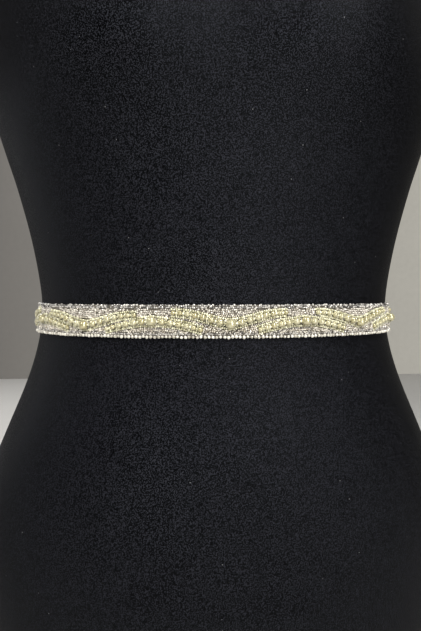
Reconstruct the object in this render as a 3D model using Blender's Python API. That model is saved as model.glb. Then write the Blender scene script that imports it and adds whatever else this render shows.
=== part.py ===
"""A bridal belt of pearls and seed beads, hooked round the waist of a limbless dress form.

The form stands on its base plate at the origin, faces -Y and is built from level rings.
The belt is one closed band with its two ends hooked together at the centre back. Its places
are given along the waist from the centre front, up from its middle line, and out from its
inner face, and belt_point turns those three into a point of the part.
"""

import math

import bpy
import numpy as np

# The dress form, in metres: heights are from the belt's middle line.
FORM_COLUMNS = ("height", "half_width", "front", "back", "squareness")
FORM_ROWS = (
    (-0.245, 0.1680, 0.0980, 0.1120, 2.20),
    (-0.200, 0.1760, 0.1040, 0.1190, 2.20),
    (-0.160, 0.1765, 0.1070, 0.1210, 2.20),
    (-0.125, 0.1700, 0.1070, 0.1170, 2.15),
    (-0.081, 0.1525, 0.1030, 0.1060, 2.10),
    (-0.050, 0.1394, 0.0970, 0.0980, 2.05),
    (-0.024, 0.1309, 0.0920, 0.0920, 2.00),
    (0.002, 0.1266, 0.0895, 0.0895, 2.00),
    (0.027, 0.1283, 0.0905, 0.0905, 2.00),
    (0.060, 0.1344, 0.0935, 0.0935, 2.05),
    (0.095, 0.1438, 0.0965, 0.0975, 2.10),
    (0.135, 0.1560, 0.0980, 0.1010, 2.15),
    (0.172, 0.1605, 0.0965, 0.1035, 2.15),
    (0.215, 0.1620, 0.0900, 0.1050, 2.15),
    (0.255, 0.1660, 0.0790, 0.1040, 2.10),
    (0.290, 0.1700, 0.0650, 0.0980, 2.05),
    (0.315, 0.1660, 0.0530, 0.0890, 2.00),
    (0.335, 0.1500, 0.0440, 0.0800, 2.00),
    (0.350, 0.1220, 0.0380, 0.0740, 2.00),
    (0.363, 0.0920, 0.0345, 0.0700, 2.00),
    (0.378, 0.0700, 0.0330, 0.0680, 2.00),
    (0.397, 0.0585, 0.0335, 0.0690, 2.00),
    (0.420, 0.0545, 0.0345, 0.0700, 2.00),
    (0.445, 0.0535, 0.0350, 0.0710, 2.00),
)
FORM_SIDES = 40
RINGS_PER_ROW = 2
EDGE_ROUND = 0.004

BUST_APART = 0.150
BUST_HEIGHT = 0.172
BUST_DEPTH = 0.027
BUST_SPREAD = 0.062
BUST_RISE = 0.070
BUST_FALL = 0.050

BASE_THICKNESS = 0.008
BASE_INSET = 0.005
NECK_CAP_THICKNESS = 0.006
NECK_CAP_INSET = 0.0015
SEAM_GAP = 0.0003

# The belt, in metres.
BELT_HEIGHT = 0.020
CLOTH = 0.0006
BEAD_GROUND = 0.0014
BELT_WALL = CLOTH + BEAD_GROUND
EDGE_BEVEL = 0.0006
FORM_CLEARANCE = 0.0004
CLOSURE_GAP = 0.005
BELT_SECTIONS = 120
OUTLINE_STEPS = 2880

# The pearl arcs: a dipping one at the centre front, then rising and dipping in turn.
ARC_COUNT = 15
ARC_STEP = 0.0450
DIP_LOW = -0.0016
DIP_RISE = 0.0066
DIP_REACH = 0.0335
DIP_POWER = 1.4
RISE_TOP = 0.0
RISE_DROP = 0.0052
RISE_REACH = 0.0300
RISE_POWER = 1.7
MAIN_PEARL = 0.0060
SIDE_PEARLS = (0.0042, 0.0040, 0.0038, 0.0035, 0.0032, 0.0030, 0.0028)
DIP_SPACER = 0.0012
RISE_SPACER = 0.0010
SPACER_RADIUS = 0.00065
SPACER_LEAST = 0.0004
INNER_RING = 0.38
OUTER_RING = 0.84
TIP = 0.97
DOME_STEPS = 4

# Arcs near the front that are sewn a little off the even step: along and up from it.
ARC_SHIFTS = {-2: (-0.0011, -0.0015), -1: (-0.0013, 0.0), 1: (0.0013, 0.0), 2: (-0.0010, 0.0)}

# The two hooks and eyes that join the belt's ends.
HOOK_HEIGHTS = (0.0045, -0.0045)
WIRE_RADIUS = 0.00045
EYE_HALF_SPAN = 0.0020
EYE_BAR_ALONG = -0.0006
HOOK_HALF_WIDTH = 0.0010
HOOK_THICKNESS = 0.0005
HOOK_END_TURN = math.radians(-50)
HOOK_STEPS = 8
WIRE_SIDES = 8
CORNER_STEPS = 3


def clear_scene():
    for old in list(bpy.data.objects):
        bpy.data.objects.remove(old)


def material(name, colour, roughness, metallic=0.0):
    made = bpy.data.materials.new(name)
    made.use_nodes = True
    shader = made.node_tree.nodes["Principled BSDF"]
    shader.inputs["Base Color"].default_value = (*colour, 1.0)
    shader.inputs["Roughness"].default_value = roughness
    shader.inputs["Metallic"].default_value = metallic
    return made


def add_object(name, points, faces, finish, smooth=True):
    mesh = bpy.data.meshes.new(name)
    mesh.from_pydata([tuple(map(float, p)) for p in points], [], faces)
    mesh.materials.append(finish)
    if smooth:
        mesh.shade_smooth()
        mesh.set_sharp_from_angle(angle=math.radians(52))
    made = bpy.data.objects.new(name, mesh)
    bpy.context.scene.collection.objects.link(made)
    return made


def skin_of_loops(loops, close_ring=False):
    """Points and faces through equal loops of points, capped at both ends unless they form a ring."""
    count = len(loops[0])
    points = [p for loop in loops for p in loop]
    faces = []
    pairs = len(loops) if close_ring else len(loops) - 1
    for row in range(pairs):
        low = row * count
        high = (row + 1) % len(loops) * count
        for k in range(count):
            after = (k + 1) % count
            faces.append((low + k, low + after, high + after, high + k))
    if not close_ring:
        faces.append(tuple(reversed(range(count))))
        last = (len(loops) - 1) * count
        faces.append(tuple(range(last, last + count)))
    return points, faces


def smooth_rows(rows, steps):
    """Rows with steps more between each pair, on a Catmull-Rom curve through them all."""
    rows = np.array(rows)
    ends = np.vstack([2 * rows[0] - rows[1], rows, 2 * rows[-1] - rows[-2]])
    made = []
    for i in range(1, len(ends) - 2):
        before, start, end, after = ends[i - 1 : i + 3]
        for t in np.arange(steps) / steps:
            bend = 2 * before - 5 * start + 4 * end - after
            twist = 3 * (start - end) + after - before
            made.append(start + 0.5 * t * (end - before + t * (bend + t * twist)))
    made.append(rows[-1])
    return np.array(made)


def power_share(value, squareness):
    """A sine or cosine raised so that the section is squarer than an ellipse."""
    return np.sign(value) * np.abs(value) ** (2 / squareness)


def outline(half_width, front, back, squareness, steps):
    """A level outline round the form, from the centre front towards +X."""
    turn = np.arange(steps) / steps * 2 * math.pi
    across = half_width * power_share(np.sin(turn), squareness)
    ahead = (front + back) / 2 * power_share(np.cos(turn), squareness)
    return np.stack([across, (back - front) / 2 - ahead], axis=1)


def bust_depth(across, height):
    """How far the bust stands forward at a point of the chest."""
    spread = BUST_RISE if height > BUST_HEIGHT else BUST_FALL
    upright = math.exp(-(((height - BUST_HEIGHT) / spread) ** 2))
    sides = [np.exp(-(((across - s * BUST_APART / 2) / BUST_SPREAD) ** 2)) for s in (-1, 1)]
    return BUST_DEPTH * upright * (sides[0] + sides[1])


def form_ring(row, shrink=0.0):
    """One level ring of the form, as points about its own upright axis."""
    height, half_width, front, back, squareness = row
    flat = outline(half_width - shrink, front - shrink, back - shrink, squareness, FORM_SIDES)
    facing = np.clip(np.cos(np.arange(FORM_SIDES) / FORM_SIDES * 2 * math.pi), 0, 1)
    flat[:, 1] -= bust_depth(flat[:, 0], height) * facing
    return np.column_stack([flat, np.full(FORM_SIDES, height)])


def form_rings():
    """The form's rings from the bottom up, with its two rims rounded."""
    rows = smooth_rows(FORM_ROWS, RINGS_PER_ROW)
    rings = [form_ring(row) for row in rows]
    bottom, top = rows[0], rows[-1]
    rings[0] = form_ring(bottom, EDGE_ROUND)
    rings[-1] = form_ring(top, EDGE_ROUND)
    half = EDGE_ROUND * (1 - math.sqrt(0.5))
    for place, row, step in ((1, bottom, 1), (len(rings), top, -1)):
        upright = [row[0] + step * EDGE_ROUND, row[0] + step * half]
        rounded = [(upright[0], 0.0), (upright[1], half)]
        made = [form_ring((height, *row[1:]), shrink) for height, shrink in rounded]
        at = place if step > 0 else place - 1
        rings[at:at] = made[::-1] if step > 0 else made
    return rings


FORM_RINGS = form_rings()
FORWARD = min(ring[:, 1].min() for ring in FORM_RINGS)
BACKWARD = max(ring[:, 1].max() for ring in FORM_RINGS)
AXIS_Y = -(FORWARD + BACKWARD) / 2
FORM_BOTTOM = BASE_THICKNESS + SEAM_GAP
WAIST_Z = FORM_BOTTOM - FORM_ROWS[0][0]


def outward(flat):
    """Unit vectors that point out of a closed level outline."""
    along = np.roll(flat, -1, axis=0) - np.roll(flat, 1, axis=0)
    along /= np.linalg.norm(along, axis=1)[:, None]
    return np.column_stack([along[:, 1], -along[:, 0]])


class WaistLine:
    """The belt's plan: its inner face runs just clear of the form at both of the belt's edges."""

    def __init__(self):
        rows = smooth_rows(FORM_ROWS, 20)
        edges = []
        for height in (-BELT_HEIGHT / 2, BELT_HEIGHT / 2):
            level = [np.interp(height, rows[:, 0], rows[:, c]) for c in range(1, 5)]
            flat = outline(*level, OUTLINE_STEPS)
            edges.append(flat + outward(flat) * FORM_CLEARANCE)
        self.lower, self.upper = edges
        middle = (self.lower + self.upper) / 2
        self.out = outward(middle)
        face = middle + self.out * BELT_WALL
        step = np.linalg.norm(np.roll(face, -1, axis=0) - face, axis=1)
        self.length = step.sum()
        self.place = np.concatenate([[0], np.cumsum(step)])

    def point(self, along, up, out):
        share = np.interp(along % self.length, self.place, np.arange(OUTLINE_STEPS + 1))
        near = int(share) % OUTLINE_STEPS
        far = (near + 1) % OUTLINE_STEPS
        rest = share - int(share)
        rise = up / BELT_HEIGHT + 0.5
        flat = np.zeros(2)
        for step, weight in ((near, 1 - rest), (far, rest)):
            inner = self.lower[step] * (1 - rise) + self.upper[step] * rise
            flat += weight * (inner + self.out[step] * out)
        return (flat[0], flat[1] + AXIS_Y, WAIST_Z + up)


WAIST = WaistLine()
BEADED_LENGTH = WAIST.length - CLOSURE_GAP


def belt_point(along, up, out):
    return WAIST.point(along, up, out)


def place_form(ring):
    return [(x, y + AXIS_Y, z + WAIST_Z) for x, y, z in ring]


def build_form(finish):
    loops = [place_form(ring) for ring in FORM_RINGS]
    add_object("form_torso", *skin_of_loops(loops), finish)


def build_plate(name, row, inset, low, high, finish):
    """A flat plate with the outline of one of the form's rows, inset, between two heights."""
    sizes = row[1] - inset, row[2] - inset, row[3] - inset
    flat = outline(*sizes, row[4], FORM_SIDES)
    loops = [[(x, y + AXIS_Y, z) for x, y in flat] for z in (low, high)]
    add_object(name, *skin_of_loops(loops), finish)


def build_base(finish):
    build_plate("base_plate", FORM_ROWS[0], BASE_INSET, 0.0, BASE_THICKNESS, finish)


def build_neck_cap(finish):
    low = WAIST_Z + FORM_ROWS[-1][0] + SEAM_GAP
    high = low + NECK_CAP_THICKNESS
    build_plate("neck_cap", FORM_ROWS[-1], NECK_CAP_INSET, low, high, finish)


def build_band(finish):
    """The belt's wall: cloth and the seed beads that cover it, with softened outer edges."""
    half = BELT_HEIGHT / 2
    soft = half - EDGE_BEVEL
    face = BELT_WALL - EDGE_BEVEL
    section = (
        (half, 0.0),
        (half, face),
        (soft, BELT_WALL),
        (0.0, BELT_WALL),
        (-soft, BELT_WALL),
        (-half, face),
        (-half, 0.0),
        (0.0, 0.0),
    )
    places = np.linspace(-BEADED_LENGTH / 2, BEADED_LENGTH / 2, BELT_SECTIONS)
    loops = [[belt_point(s, up, out) for up, out in section] for s in places]
    add_object("belt_band", *skin_of_loops(loops), finish)


def dip_height(u):
    """Height of a dipping arc at a distance from its middle."""
    share = min(abs(u) / DIP_REACH, 1.0)
    return DIP_LOW + DIP_RISE * math.sin(math.pi / 2 * share) ** DIP_POWER


def rise_height(u):
    """Height of a rising arc at a distance from its middle."""
    return RISE_TOP - RISE_DROP * (abs(u) / RISE_REACH) ** RISE_POWER


def pearls_of(height_of, count, spacer):
    """(distance, diameter) of an arc's pearls, both ways from the main one, along the arc's curve."""
    spread = np.linspace(0, 2 * DIP_REACH, 400)
    rise = np.array([height_of(u) for u in spread])
    run = np.concatenate([[0], np.cumsum(np.hypot(np.diff(spread), np.diff(rise)))])
    made = [(0.0, MAIN_PEARL)]
    length = MAIN_PEARL / 2
    for size in SIDE_PEARLS[:count]:
        length += spacer + size / 2
        at = float(np.interp(length, run, spread))
        made.append((at, size))
        made.insert(0, (-at, size))
        length += size / 2
    return made


def dome_section(radius, centre, least):
    """A pearl's cut section as (sideways, out) points: its flat lies on the bead ground."""
    flat = BELT_WALL + SEAM_GAP
    top = max(centre + radius, flat + least)
    reach = top - centre
    start = math.asin(max(-0.8, min(0.8, (flat - centre) / reach)))
    turns = np.linspace(start, math.pi - start, DOME_STEPS + 1)
    made = [(reach * math.cos(t), centre + reach * math.sin(t)) for t in turns]
    made[0] = (made[0][0], flat)
    made[-1] = (made[-1][0], flat)
    return made


def strand_stations(pearls):
    """(distance, radius, centre height) of each section along a strand of pearls and spacers."""
    made = []
    for n, (at, size) in enumerate(pearls):
        radius = size / 2
        centre = CLOTH + radius
        if n:
            before, last = pearls[n - 1]
            edge = (before + last / 2 + at - radius) / 2
            made.append((edge, SPACER_RADIUS, CLOTH + (radius + last / 2) / 2))
        shares = [-OUTER_RING, -INNER_RING, INNER_RING, OUTER_RING]
        if n == 0:
            shares.insert(0, -TIP)
        if n == len(pearls) - 1:
            shares.append(TIP)
        for share in shares:
            made.append((at + share * radius, radius * math.sqrt(1 - share * share), centre))
    return made


def build_pearl_arc(name, middle, lift, height_of, pearls, finish):
    """One sewn strand of graded pearls."""
    loops = []
    for u, radius, centre in strand_stations(pearls):
        slope = (height_of(u + 1e-4) - height_of(u - 1e-4)) / 2e-4
        long = math.hypot(1.0, slope)
        side = (-slope / long, 1.0 / long)
        section = dome_section(radius, centre, SPACER_LEAST)
        loops.append(
            [
                belt_point(middle + u + a * side[0], lift + height_of(u) + a * side[1], o)
                for a, o in section
            ]
        )
    add_object(name, *skin_of_loops(loops), finish)


def build_pearl_arcs(finish):
    half = ARC_COUNT // 2
    for k in range(-half, half + 1):
        dips = k % 2 == 0
        height_of = dip_height if dips else rise_height
        count = len(SIDE_PEARLS) if dips else len(SIDE_PEARLS) - 1
        pearls = pearls_of(height_of, count, DIP_SPACER if dips else RISE_SPACER)
        along, lift = ARC_SHIFTS.get(k, (0.0, 0.0))
        name = f"pearl_arc_{k + half + 1:02d}"
        build_pearl_arc(name, k * ARC_STEP + along, lift, height_of, pearls, finish)


def back_point(along, up, out):
    """A point near the closure: along is measured from the centre back."""
    return belt_point(WAIST.length / 2 + along, up, out)


def build_eye(name, height, finish):
    """A bent wire loop that reaches out of one end of the belt, with its bar upright."""
    middle = BELT_WALL / 2
    start = CLOSURE_GAP / 2 - SEAM_GAP
    bend = 2 * WIRE_RADIUS
    path = [(start, -EYE_HALF_SPAN)]
    for n in range(CORNER_STEPS + 1):
        turn = math.pi / 2 * n / CORNER_STEPS
        path.append(
            (EYE_BAR_ALONG + bend * (1 - math.sin(turn)), -EYE_HALF_SPAN + bend * (1 - math.cos(turn)))
        )
    path += [(along, -up) for along, up in reversed(path)]
    loops = []
    for n, (along, up) in enumerate(path):
        ahead = path[min(n + 1, len(path) - 1)]
        behind = path[max(n - 1, 0)]
        way = np.array([ahead[0] - behind[0], ahead[1] - behind[1]])
        way /= np.linalg.norm(way)
        side = (-way[1], way[0])
        loop = []
        for k in range(WIRE_SIDES):
            turn = 2 * math.pi * (k + 0.5) / WIRE_SIDES
            off = WIRE_RADIUS * math.cos(turn)
            rise = WIRE_RADIUS * math.sin(turn)
            loop.append(back_point(along + off * side[0], height + up + off * side[1], middle + rise))
        loops.append(loop)
    add_object(name, *skin_of_loops(loops), finish)


def build_hook(name, height, finish):
    """A flat strip that leaves the other end of the belt, passes over the bar and curls round it."""
    middle = BELT_WALL / 2
    radius = WIRE_RADIUS + SEAM_GAP + HOOK_THICKNESS / 2
    turns = np.linspace(math.pi / 2, HOOK_END_TURN, HOOK_STEPS)
    edges = []
    for side in (1, -1):
        reach = radius + side * HOOK_THICKNESS / 2
        edge = [(-CLOSURE_GAP / 2 + SEAM_GAP, middle + reach)]
        edge += [(EYE_BAR_ALONG + reach * math.cos(t), middle + reach * math.sin(t)) for t in turns]
        edges.append(edge)
    profile = edges[0] + edges[1][::-1]
    loops = []
    for rise in (-HOOK_HALF_WIDTH, HOOK_HALF_WIDTH):
        loops.append([back_point(along, height + rise, out) for along, out in profile])
    add_object(name, *skin_of_loops(loops), finish)


def build_closure(finish):
    for word, height in zip(("upper", "lower"), HOOK_HEIGHTS):
        build_eye(f"{word}_eye", height, finish)
        build_hook(f"{word}_hook", height, finish)


def face_outwards():
    """Turns every solid's faces to point out of it."""
    for made in bpy.context.scene.objects:
        mesh = made.data
        mesh.calc_loop_triangles()
        corners = [[mesh.vertices[v].co for v in t.vertices] for t in mesh.loop_triangles]
        volume = sum(a.dot(b.cross(c)) for a, b, c in corners)
        if volume < 0:
            mesh.flip_normals()


def main():
    clear_scene()
    jersey = material("black_jersey", (0.012, 0.012, 0.014), 0.85)
    board = material("black_board", (0.02, 0.02, 0.021), 0.5)
    ground = material("beaded_cloth", (0.62, 0.59, 0.50), 0.35)
    pearl = material("ivory_pearl", (0.83, 0.77, 0.56), 0.18)
    wire = material("silver_wire", (0.72, 0.72, 0.72), 0.25, metallic=1.0)
    build_form(jersey)
    build_base(board)
    build_neck_cap(board)
    build_band(ground)
    build_pearl_arcs(pearl)
    build_closure(wire)
    face_outwards()


main()
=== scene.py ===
"""Looks of the beaded belt on its dress form.

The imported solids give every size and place. The jersey form, the cloth strip, the pearls and the seed
beads are made over them, and places on the belt are given as in the solids' source: along the waist
from the centre front, up from the belt's middle line and out from its inner face, in metres.
"""

import math

import bpy
import numpy as np
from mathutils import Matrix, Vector


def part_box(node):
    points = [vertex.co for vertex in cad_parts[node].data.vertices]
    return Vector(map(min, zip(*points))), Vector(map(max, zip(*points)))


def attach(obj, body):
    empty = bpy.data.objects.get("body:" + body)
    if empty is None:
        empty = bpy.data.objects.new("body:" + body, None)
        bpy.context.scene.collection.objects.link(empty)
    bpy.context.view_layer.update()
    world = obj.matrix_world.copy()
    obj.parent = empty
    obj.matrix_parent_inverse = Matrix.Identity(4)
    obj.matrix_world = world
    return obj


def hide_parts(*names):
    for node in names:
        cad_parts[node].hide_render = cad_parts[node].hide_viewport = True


# Sizes that the solids share.
CLOTH = 0.0006
BELT_WALL = 0.0020
FORM_CLEARANCE = 0.0004
CLOSURE_GAP = 0.005
ARC_COUNT = 15
ARC_STEP = 0.0450
DIP_LOW = -0.0016
DIP_RISE = 0.0066
DIP_REACH = 0.0335
DIP_POWER = 1.4
RISE_DROP = 0.0052
RISE_REACH = 0.0300
RISE_POWER = 1.7
MAIN_PEARL = 0.0060
SIDE_PEARLS = (0.0042, 0.0040, 0.0038, 0.0035, 0.0032, 0.0030, 0.0028)
DIP_SPACER = 0.0012
RISE_SPACER = 0.0010
ARC_SHIFTS = {-2: (-0.0011, -0.0015), -1: (-0.0013, 0.0), 1: (0.0013, 0.0), 2: (-0.0010, 0.0)}

# How finely the form is drawn between the solid's own points.
SIDE_STEPS = 4
HEIGHT_STEPS = 3
RING_BREAK = 0.0004
TURN_BREAK = 0.01
SHARP_FROM = math.radians(50)

# The jersey: its stitches' sideways wander, how deep they are beside its ribs, the span of the grain
# that runs from black to light, and its flecks of lint.
SLACK_SCALE = 400.0
SLACK_REACH = 0.0012
STITCH_SHARE = 0.35
SPECKLE_SPAN = (0.48, 0.60)
LINT_SCALE = 170.0
LINT_SIZE = 0.055
LINT_RARITY = 0.86

# The cloth strip.
CLOTH_INSET = 0.0004
CLOTH_STEP = 0.0025

# Seed beads: radius over all, length along the thread, and pitch from one to the next. A loose
# bead's middle lies GAP_OUT from the strip.
SEED_RADIUS = 0.00064
SEED_LENGTH = 0.00100
SEED_PITCH = 0.00112
CREAM_RADIUS = 0.00078
CREAM_LENGTH = 0.00122
CREAM_PITCH = 0.00138
NOTCH_RADIUS = 0.00072
SPACER_RADIUS = 0.00082
SPACER_LENGTH = 0.0014
GAP_RADIUS = 0.00050
GAP_LENGTH = 0.00082
GAP_OUT = 0.00095
RIM_RADIUS = 0.00098
RIM_LENGTH = 0.00176
RIM_PITCH = 0.00228
UPPER_RIM_SIZE = (SEED_RADIUS * 1.1, SEED_LENGTH * 1.15, SEED_PITCH * 1.1)

# The middle of a bead's wall lies at this share of its radius. Its faces are counted round the hole
# and across the wall.
HOLE_SHARE = 0.52
SEED_SIDES = (8, 5)
RIM_SIDES = (12, 8)

# Steps from a piece's seed to the seed of its tones, and from an arc's number to its own seed.
TONE_SEED_STEP = 7.0
ARC_SEED_STEP = 20

# Heights of the rows on the belt, the ground's span, and the pitch and swing of its wavy rows.
LOWER_RIM_HEIGHT = -0.0091
UPPER_RIM_HEIGHT = 0.0093
LOWER_EDGE_HEIGHT = -0.0075
UPPER_EDGE_HEIGHT = 0.0081
CREAM_LIMIT = 0.0076
GROUND_LOW = -0.0063
GROUND_HIGH = 0.0070
ROW_PITCH = 0.00122
WAVE_HEIGHT = 0.0033

# How an arc's curve is measured: its samples, and the reach that its slope is taken over.
ARC_SAMPLES = 400
SLOPE_REACH = 1e-4

# How the rows' paths are sampled and cut, and half the length of a single bead's path.
ROW_SAMPLE = 0.0004
SHORTEST_RUN = 0.0009
TOUCH = 0.00002

# How rows are kept apart: places tested at once, how far round them the others are looked for, and
# the shares of two beads' touching distance, or of a cream bead's radius, that they keep.
PLACES_AT_ONCE = 1000
FAR = 0.005
PEARL_CLOSENESS = 0.94
ROW_CLOSENESS = 0.88
CREAM_SPACING = 1.7

# Loose beads fill what the rows leave: tries for each square millimetre, square millimetres in a
# square metre, how close they may come, how many of the latest a new one is held against, the
# length of belt that they are sorted by, and the seed of their places.
GAP_TRIES = 12
SQUARE_MILLIMETRES = 1e6
GAP_CLOSENESS = 0.78
GAP_MEMORY = 150
SORT_LENGTH = 0.01
GAP_SEED = 11

# The ground rows whose middle is above this height are of a greyer glass.
HIGH_FROM = 0.0040

# Above this height the loose beads are thinned by a share, so that the strip shows dark between them.
OPEN_FROM = 0.0058
OPEN_SHARE = 0.7

# Kind of glass, name, darkest and lightest colour, least and most roughness, and how metallic it is.
GLASS = (
    ("clear", "silver_lined_glass", (0.025, 0.023, 0.021), (0.74, 0.71, 0.665), (0.06, 0.22), 0.35),
    ("soft", "pale_silver_glass", (0.14, 0.13, 0.115), (0.68, 0.65, 0.60), (0.08, 0.26), 0.3),
    ("grey", "misty_glass", (0.28, 0.252, 0.205), (0.86, 0.812, 0.725), (0.06, 0.24), 0.3),
    ("warm", "champagne_glass", (0.37, 0.33, 0.26), (0.90, 0.845, 0.74), (0.06, 0.24), 0.25),
    ("cream", "cream_glass", (0.34, 0.32, 0.19), (0.88, 0.855, 0.64), (0.08, 0.28), 0.15),
    ("rim", "clear_rim_glass", (0.38, 0.355, 0.30), (0.78, 0.75, 0.67), (0.08, 0.28), 0.25),
)

# The studio: the floor's reach to the front and side, the wall's place and height, the stretch over which
# the wall's painted glow grows lighter, the height that the tall lamp faces, and the lamps' tints.
STAGE = (3.0, 3.0, 1.35, 2.4)
WALL_GLOW_SPAN = (-0.60, 0.85)
HIP_Z = 0.33
WARM_LIGHT = (1.0, 0.98, 0.95)
COOL_LIGHT = (0.97, 0.98, 1.0)

# The view: how far the camera stands from the waist's upright axis, how high above the waist and how
# far round it, how far it is turned aside and down, and the lens in the picture's own pixels.
CAMERA_AWAY = 0.395
CAMERA_ABOVE = 0.0143
CAMERA_ROUND = math.radians(5.38)
CAMERA_ASIDE = math.radians(0.58)
CAMERA_DOWN = math.radians(2.03)
PICTURE_HEIGHT = 631
FOCAL_PIXELS = 522
SENSOR = 36.0

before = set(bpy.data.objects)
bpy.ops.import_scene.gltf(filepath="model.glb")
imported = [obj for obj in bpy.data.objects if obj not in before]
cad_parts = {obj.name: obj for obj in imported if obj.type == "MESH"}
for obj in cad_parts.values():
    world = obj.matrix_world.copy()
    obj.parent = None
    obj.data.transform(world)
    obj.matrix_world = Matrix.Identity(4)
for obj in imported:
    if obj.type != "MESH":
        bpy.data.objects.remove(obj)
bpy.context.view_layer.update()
BAND_LOW, BAND_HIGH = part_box("belt_band")
AXIS_Y = (BAND_LOW.y + BAND_HIGH.y) / 2
WAIST_Z = (BAND_LOW.z + BAND_HIGH.z) / 2
BELT_HEIGHT = BAND_HIGH.z - BAND_LOW.z


def split_where(values, gap):
    """Index ranges of a sorted list, cut wherever it jumps by more than gap."""
    cuts = np.nonzero(np.diff(values) > gap)[0] + 1
    return np.split(np.arange(len(values)), cuts)


def rings_of(node):
    """A node's level rings from the bottom up, each ordered round it from the front towards +X."""
    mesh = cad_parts[node].data
    points = np.empty(len(mesh.vertices) * 3)
    mesh.vertices.foreach_get("co", points)
    points = points.reshape(-1, 3)
    points = points[np.argsort(points[:, 2])]
    rings = []
    for level in split_where(points[:, 2], RING_BREAK):
        ring = points[level]
        middle = (ring.min(axis=0) + ring.max(axis=0)) / 2
        turn = np.arctan2(ring[:, 0] - middle[0], middle[1] - ring[:, 1]) % math.tau
        turn[turn > math.tau - TURN_BREAK / 2] -= math.tau
        order = np.argsort(turn)
        ring, turn = ring[order], turn[order]
        rings.append(np.array([ring[same].mean(axis=0) for same in split_where(turn, TURN_BREAK)]))
    return np.array(rings)


def curve_through(points, knots, at):
    """Points on a smooth curve that passes each given point at its knot."""
    step = np.diff(knots).reshape(-1, *[1] * (points.ndim - 1))
    slope = np.diff(points, axis=0) / step
    inner = (slope[:-1] * step[1:] + slope[1:] * step[:-1]) / (step[1:] + step[:-1])
    tangent = np.concatenate([slope[:1], inner, slope[-1:]])
    low = np.clip(np.searchsorted(knots, at, side="right") - 1, 0, len(knots) - 2)
    t = ((at - knots[low]) / (knots[low + 1] - knots[low])).reshape(-1, *[1] * (points.ndim - 1))
    span = (knots[low + 1] - knots[low]).reshape(-1, *[1] * (points.ndim - 1))
    start, end = points[low], points[low + 1]
    return (
        start * (2 * t**3 - 3 * t**2 + 1)
        + end * (3 * t**2 - 2 * t**3)
        + tangent[low] * span * (t**3 - 2 * t**2 + t)
        + tangent[low + 1] * span * (t**3 - t**2)
    )


def outward(flat):
    """Unit vectors that point out of a closed level outline."""
    along = np.roll(flat, -1, axis=0) - np.roll(flat, 1, axis=0)
    along /= np.linalg.norm(along, axis=1)[:, None]
    return np.column_stack([along[:, 1], -along[:, 0]])


class BeltLine:
    """The belt's plan: its inner face runs just clear of the form at both of the belt's edges."""

    STEPS = 2880

    def __init__(self, rings):
        heights = rings[:, :, 2].mean(axis=1)
        sizes = (rings.max(axis=1) - rings.min(axis=1))[:, :2] / 2
        edges = []
        for height in (BAND_LOW.z, BAND_HIGH.z):
            half_width, half_depth = curve_through(sizes, heights, np.array([height]))[0]
            turn = np.arange(self.STEPS) / self.STEPS * math.tau
            flat = np.stack([half_width * np.sin(turn), -half_depth * np.cos(turn)], axis=1)
            edges.append(flat + outward(flat) * FORM_CLEARANCE)
        self.lower, self.upper = (np.vstack([edge, edge[:1]]) for edge in edges)
        middle = (edges[0] + edges[1]) / 2
        normal = outward(middle)
        face = middle + normal * BELT_WALL
        step = np.linalg.norm(np.roll(face, -1, axis=0) - face, axis=1)
        self.length = step.sum()
        self.place = np.concatenate([[0], np.cumsum(step)])
        self.normal = np.vstack([normal, normal[:1]])

    def points(self, along, up, out):
        along, up, out = np.broadcast_arrays(
            np.asarray(along, float), np.asarray(up, float), np.asarray(out, float)
        )
        at = along % self.length
        rise = up / BELT_HEIGHT + 0.5
        made = []
        for c in range(2):
            low = np.interp(at, self.place, self.lower[:, c])
            high = np.interp(at, self.place, self.upper[:, c])
            normal = np.interp(at, self.place, self.normal[:, c])
            made.append(low * (1 - rise) + high * rise + out * normal)
        return np.stack([made[0], made[1] + AXIS_Y, WAIST_Z + up], axis=-1)


FORM_RINGS = rings_of("form_torso")
BELT = BeltLine(FORM_RINGS)
HALF_LENGTH = (BELT.length - CLOSURE_GAP) / 2


def socket_of(group, name):
    """The identifier of a node group's input, which a modifier is set by."""
    for item in group.interface.items_tree:
        if item.item_type == "SOCKET" and item.in_out == "INPUT" and item.name == name:
            return item.identifier
    raise KeyError(name)


def add_node(tree, kind, settings=None, **inputs):
    """A node with its settings and inputs, each a value or an output; _2 stands for input number 2."""
    made = tree.nodes.new(kind)
    for key, value in (settings or {}).items():
        setattr(made, key, value)
    for key, value in inputs.items():
        where = made.inputs[int(key[1:])] if key[1:].isdigit() else made.inputs[key.replace("_", " ")]
        if isinstance(value, bpy.types.NodeSocket):
            tree.links.new(value, where)
        else:
            where.default_value = value
    return made


def group_with(name, kind, inputs, outputs):
    """A node group with named sockets, and its input and output nodes."""
    group = bpy.data.node_groups.new(name, kind)
    for in_out, sockets in (("INPUT", inputs), ("OUTPUT", outputs)):
        for socket, (socket_kind, value) in sockets.items():
            made = group.interface.new_socket(name=socket, in_out=in_out, socket_type=socket_kind)
            if value is not None:
                made.default_value = value
    return group, group.nodes.new("NodeGroupInput"), group.nodes.new("NodeGroupOutput")


def sum_of(tree, operation, first, second=0.0):
    """The output of a node that works out one sum."""
    return add_node(tree, "ShaderNodeMath", {"operation": operation}, _0=first, _1=second).outputs[0]


def mix_value(tree, share, first, second):
    return add_node(tree, "ShaderNodeMix", {"data_type": "FLOAT"}, _0=share, _2=first, _3=second).outputs[0]


def mix_colour(tree, share, first, second, blend="MIX"):
    settings = {"data_type": "RGBA", "blend_type": blend}
    return add_node(tree, "ShaderNodeMix", settings, _0=share, _6=first, _7=second).outputs[2]


def ramp(tree, value, low, high, start=0.0, end=1.0):
    """A value that runs from low to high while another runs from start to end."""
    made = add_node(
        tree, "ShaderNodeMapRange", Value=value, From_Min=start, From_Max=end, To_Min=low, To_Max=high
    )
    return made.outputs[0]


def bumped(tree, height, strength, distance):
    made = add_node(tree, "ShaderNodeBump", Height=height, Strength=strength, Distance=distance)
    return made.outputs["Normal"]


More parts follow.
